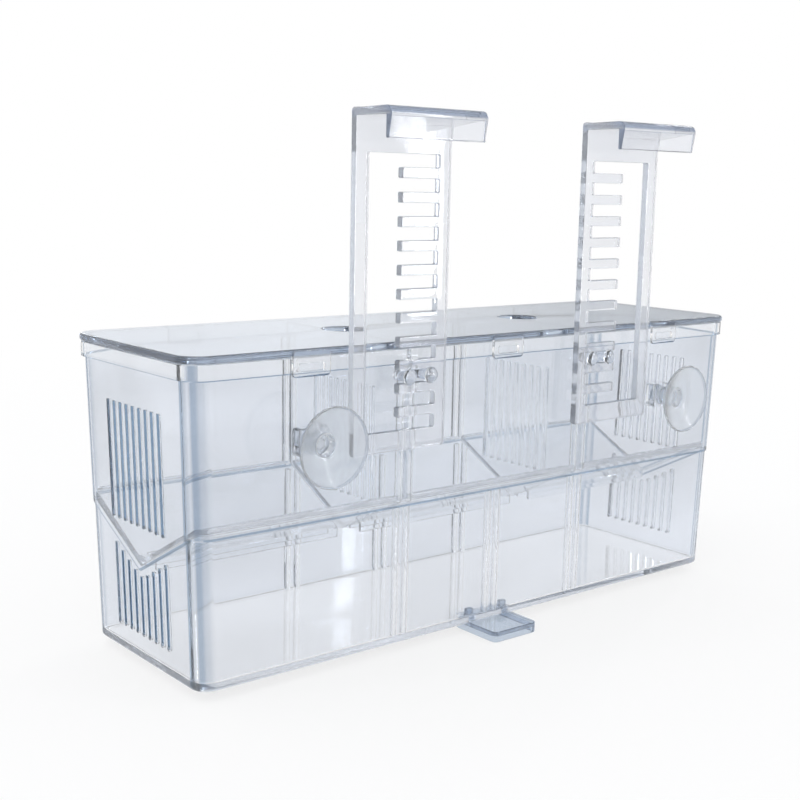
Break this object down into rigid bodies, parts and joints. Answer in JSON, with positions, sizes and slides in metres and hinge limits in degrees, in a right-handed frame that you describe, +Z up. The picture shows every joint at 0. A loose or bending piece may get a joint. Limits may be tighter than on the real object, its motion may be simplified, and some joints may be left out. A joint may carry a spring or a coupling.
{
  "type": "fish breeding box",
  "caption": "Clear hang-on fish breeding box with lid, dividers, slotted V-shaped trays over a lower fry room, toothed rim hooks, suction cups and a stand-off foot.",
  "frame": {"origin": "centre of the underside of the tank's floor", "axes": "+X along the box's length, -Y out of the wall that faces the aquarium's glass (hooks, cups, foot), +Z up"},
  "size_m": [0.2652, 0.1031, 0.1895],
  "materials": {
    "tank_plastic": "clear, moulded, glossy",
    "lid_plastic": "clear, moulded, glossy",
    "insert_plastic": "clear, moulded, glossy",
    "hook_plastic": "clear, moulded, glossy",
    "foot_plastic": "clear, moulded, glossy",
    "cup_soft": "clear soft vinyl, glossy"
  },
  "bodies": {
    "tank": {"tank_body": "tank_plastic", "foot": "foot_plastic"},
    "lid_body": {"lid": "lid_plastic"},
    "divider_left_body": {"divider_left": "insert_plastic"},
    "divider_right_body": {"divider_right": "insert_plastic"},
    "tray_left_body": {"tray_left": "insert_plastic"},
    "tray_middle_body": {"tray_middle": "insert_plastic"},
    "tray_right_body": {"tray_right": "insert_plastic"},
    "hook_left_body": {"hook_left": "hook_plastic"},
    "hook_right_body": {"hook_right": "hook_plastic"},
    "cup_left_body": {"cup_left": "cup_soft"},
    "cup_right_body": {"cup_right": "cup_soft"}
  },
  "joints": [
    {"name": "lid_lift", "type": "slide", "parent": "tank", "child": "lid_body", "axis": [0, 0, 1], "range_m": [0, 0.18]},
    {"name": "divider_left_lift", "type": "slide", "parent": "tank", "child": "divider_left_body", "axis": [0, 0, 1], "range_m": [0, 0.1]},
    {"name": "divider_right_lift", "type": "slide", "parent": "tank", "child": "divider_right_body", "axis": [0, 0, 1], "range_m": [0, 0.1]},
    {"name": "tray_left_lift", "type": "slide", "parent": "tank", "child": "tray_left_body", "axis": [0, 0, 1], "range_m": [0, 0.082]},
    {"name": "tray_middle_lift", "type": "slide", "parent": "tank", "child": "tray_middle_body", "axis": [0, 0, 1], "range_m": [0, 0.082]},
    {"name": "tray_right_lift", "type": "slide", "parent": "tank", "child": "tray_right_body", "axis": [0, 0, 1], "range_m": [0, 0.082]},
    {"name": "hook_left_shift", "type": "slide", "parent": "tank", "child": "hook_left_body", "axis": [1, 0, 0], "range_m": [0, 0.0159]},
    {"name": "hook_right_shift", "type": "slide", "parent": "tank", "child": "hook_right_body", "axis": [-1, 0, 0], "range_m": [0, 0.0159]},
    {"name": "cup_left_lift", "type": "slide", "parent": "tank", "child": "cup_left_body", "axis": [0, 0, 1], "range_m": [0, 0.009]},
    {"name": "cup_right_lift", "type": "slide", "parent": "tank", "child": "cup_right_body", "axis": [0, 0, 1], "range_m": [0, 0.009]}
  ],
  "couplings": [
    {"joint": "divider_left_lift", "follows": "lid_lift", "ratio": 0.55},
    {"joint": "divider_right_lift", "follows": "lid_lift", "ratio": 0.55},
    {"joint": "tray_left_lift", "follows": "lid_lift", "ratio": 0.45},
    {"joint": "tray_middle_lift", "follows": "lid_lift", "ratio": 0.45},
    {"joint": "tray_right_lift", "follows": "lid_lift", "ratio": 0.45}
  ]
}
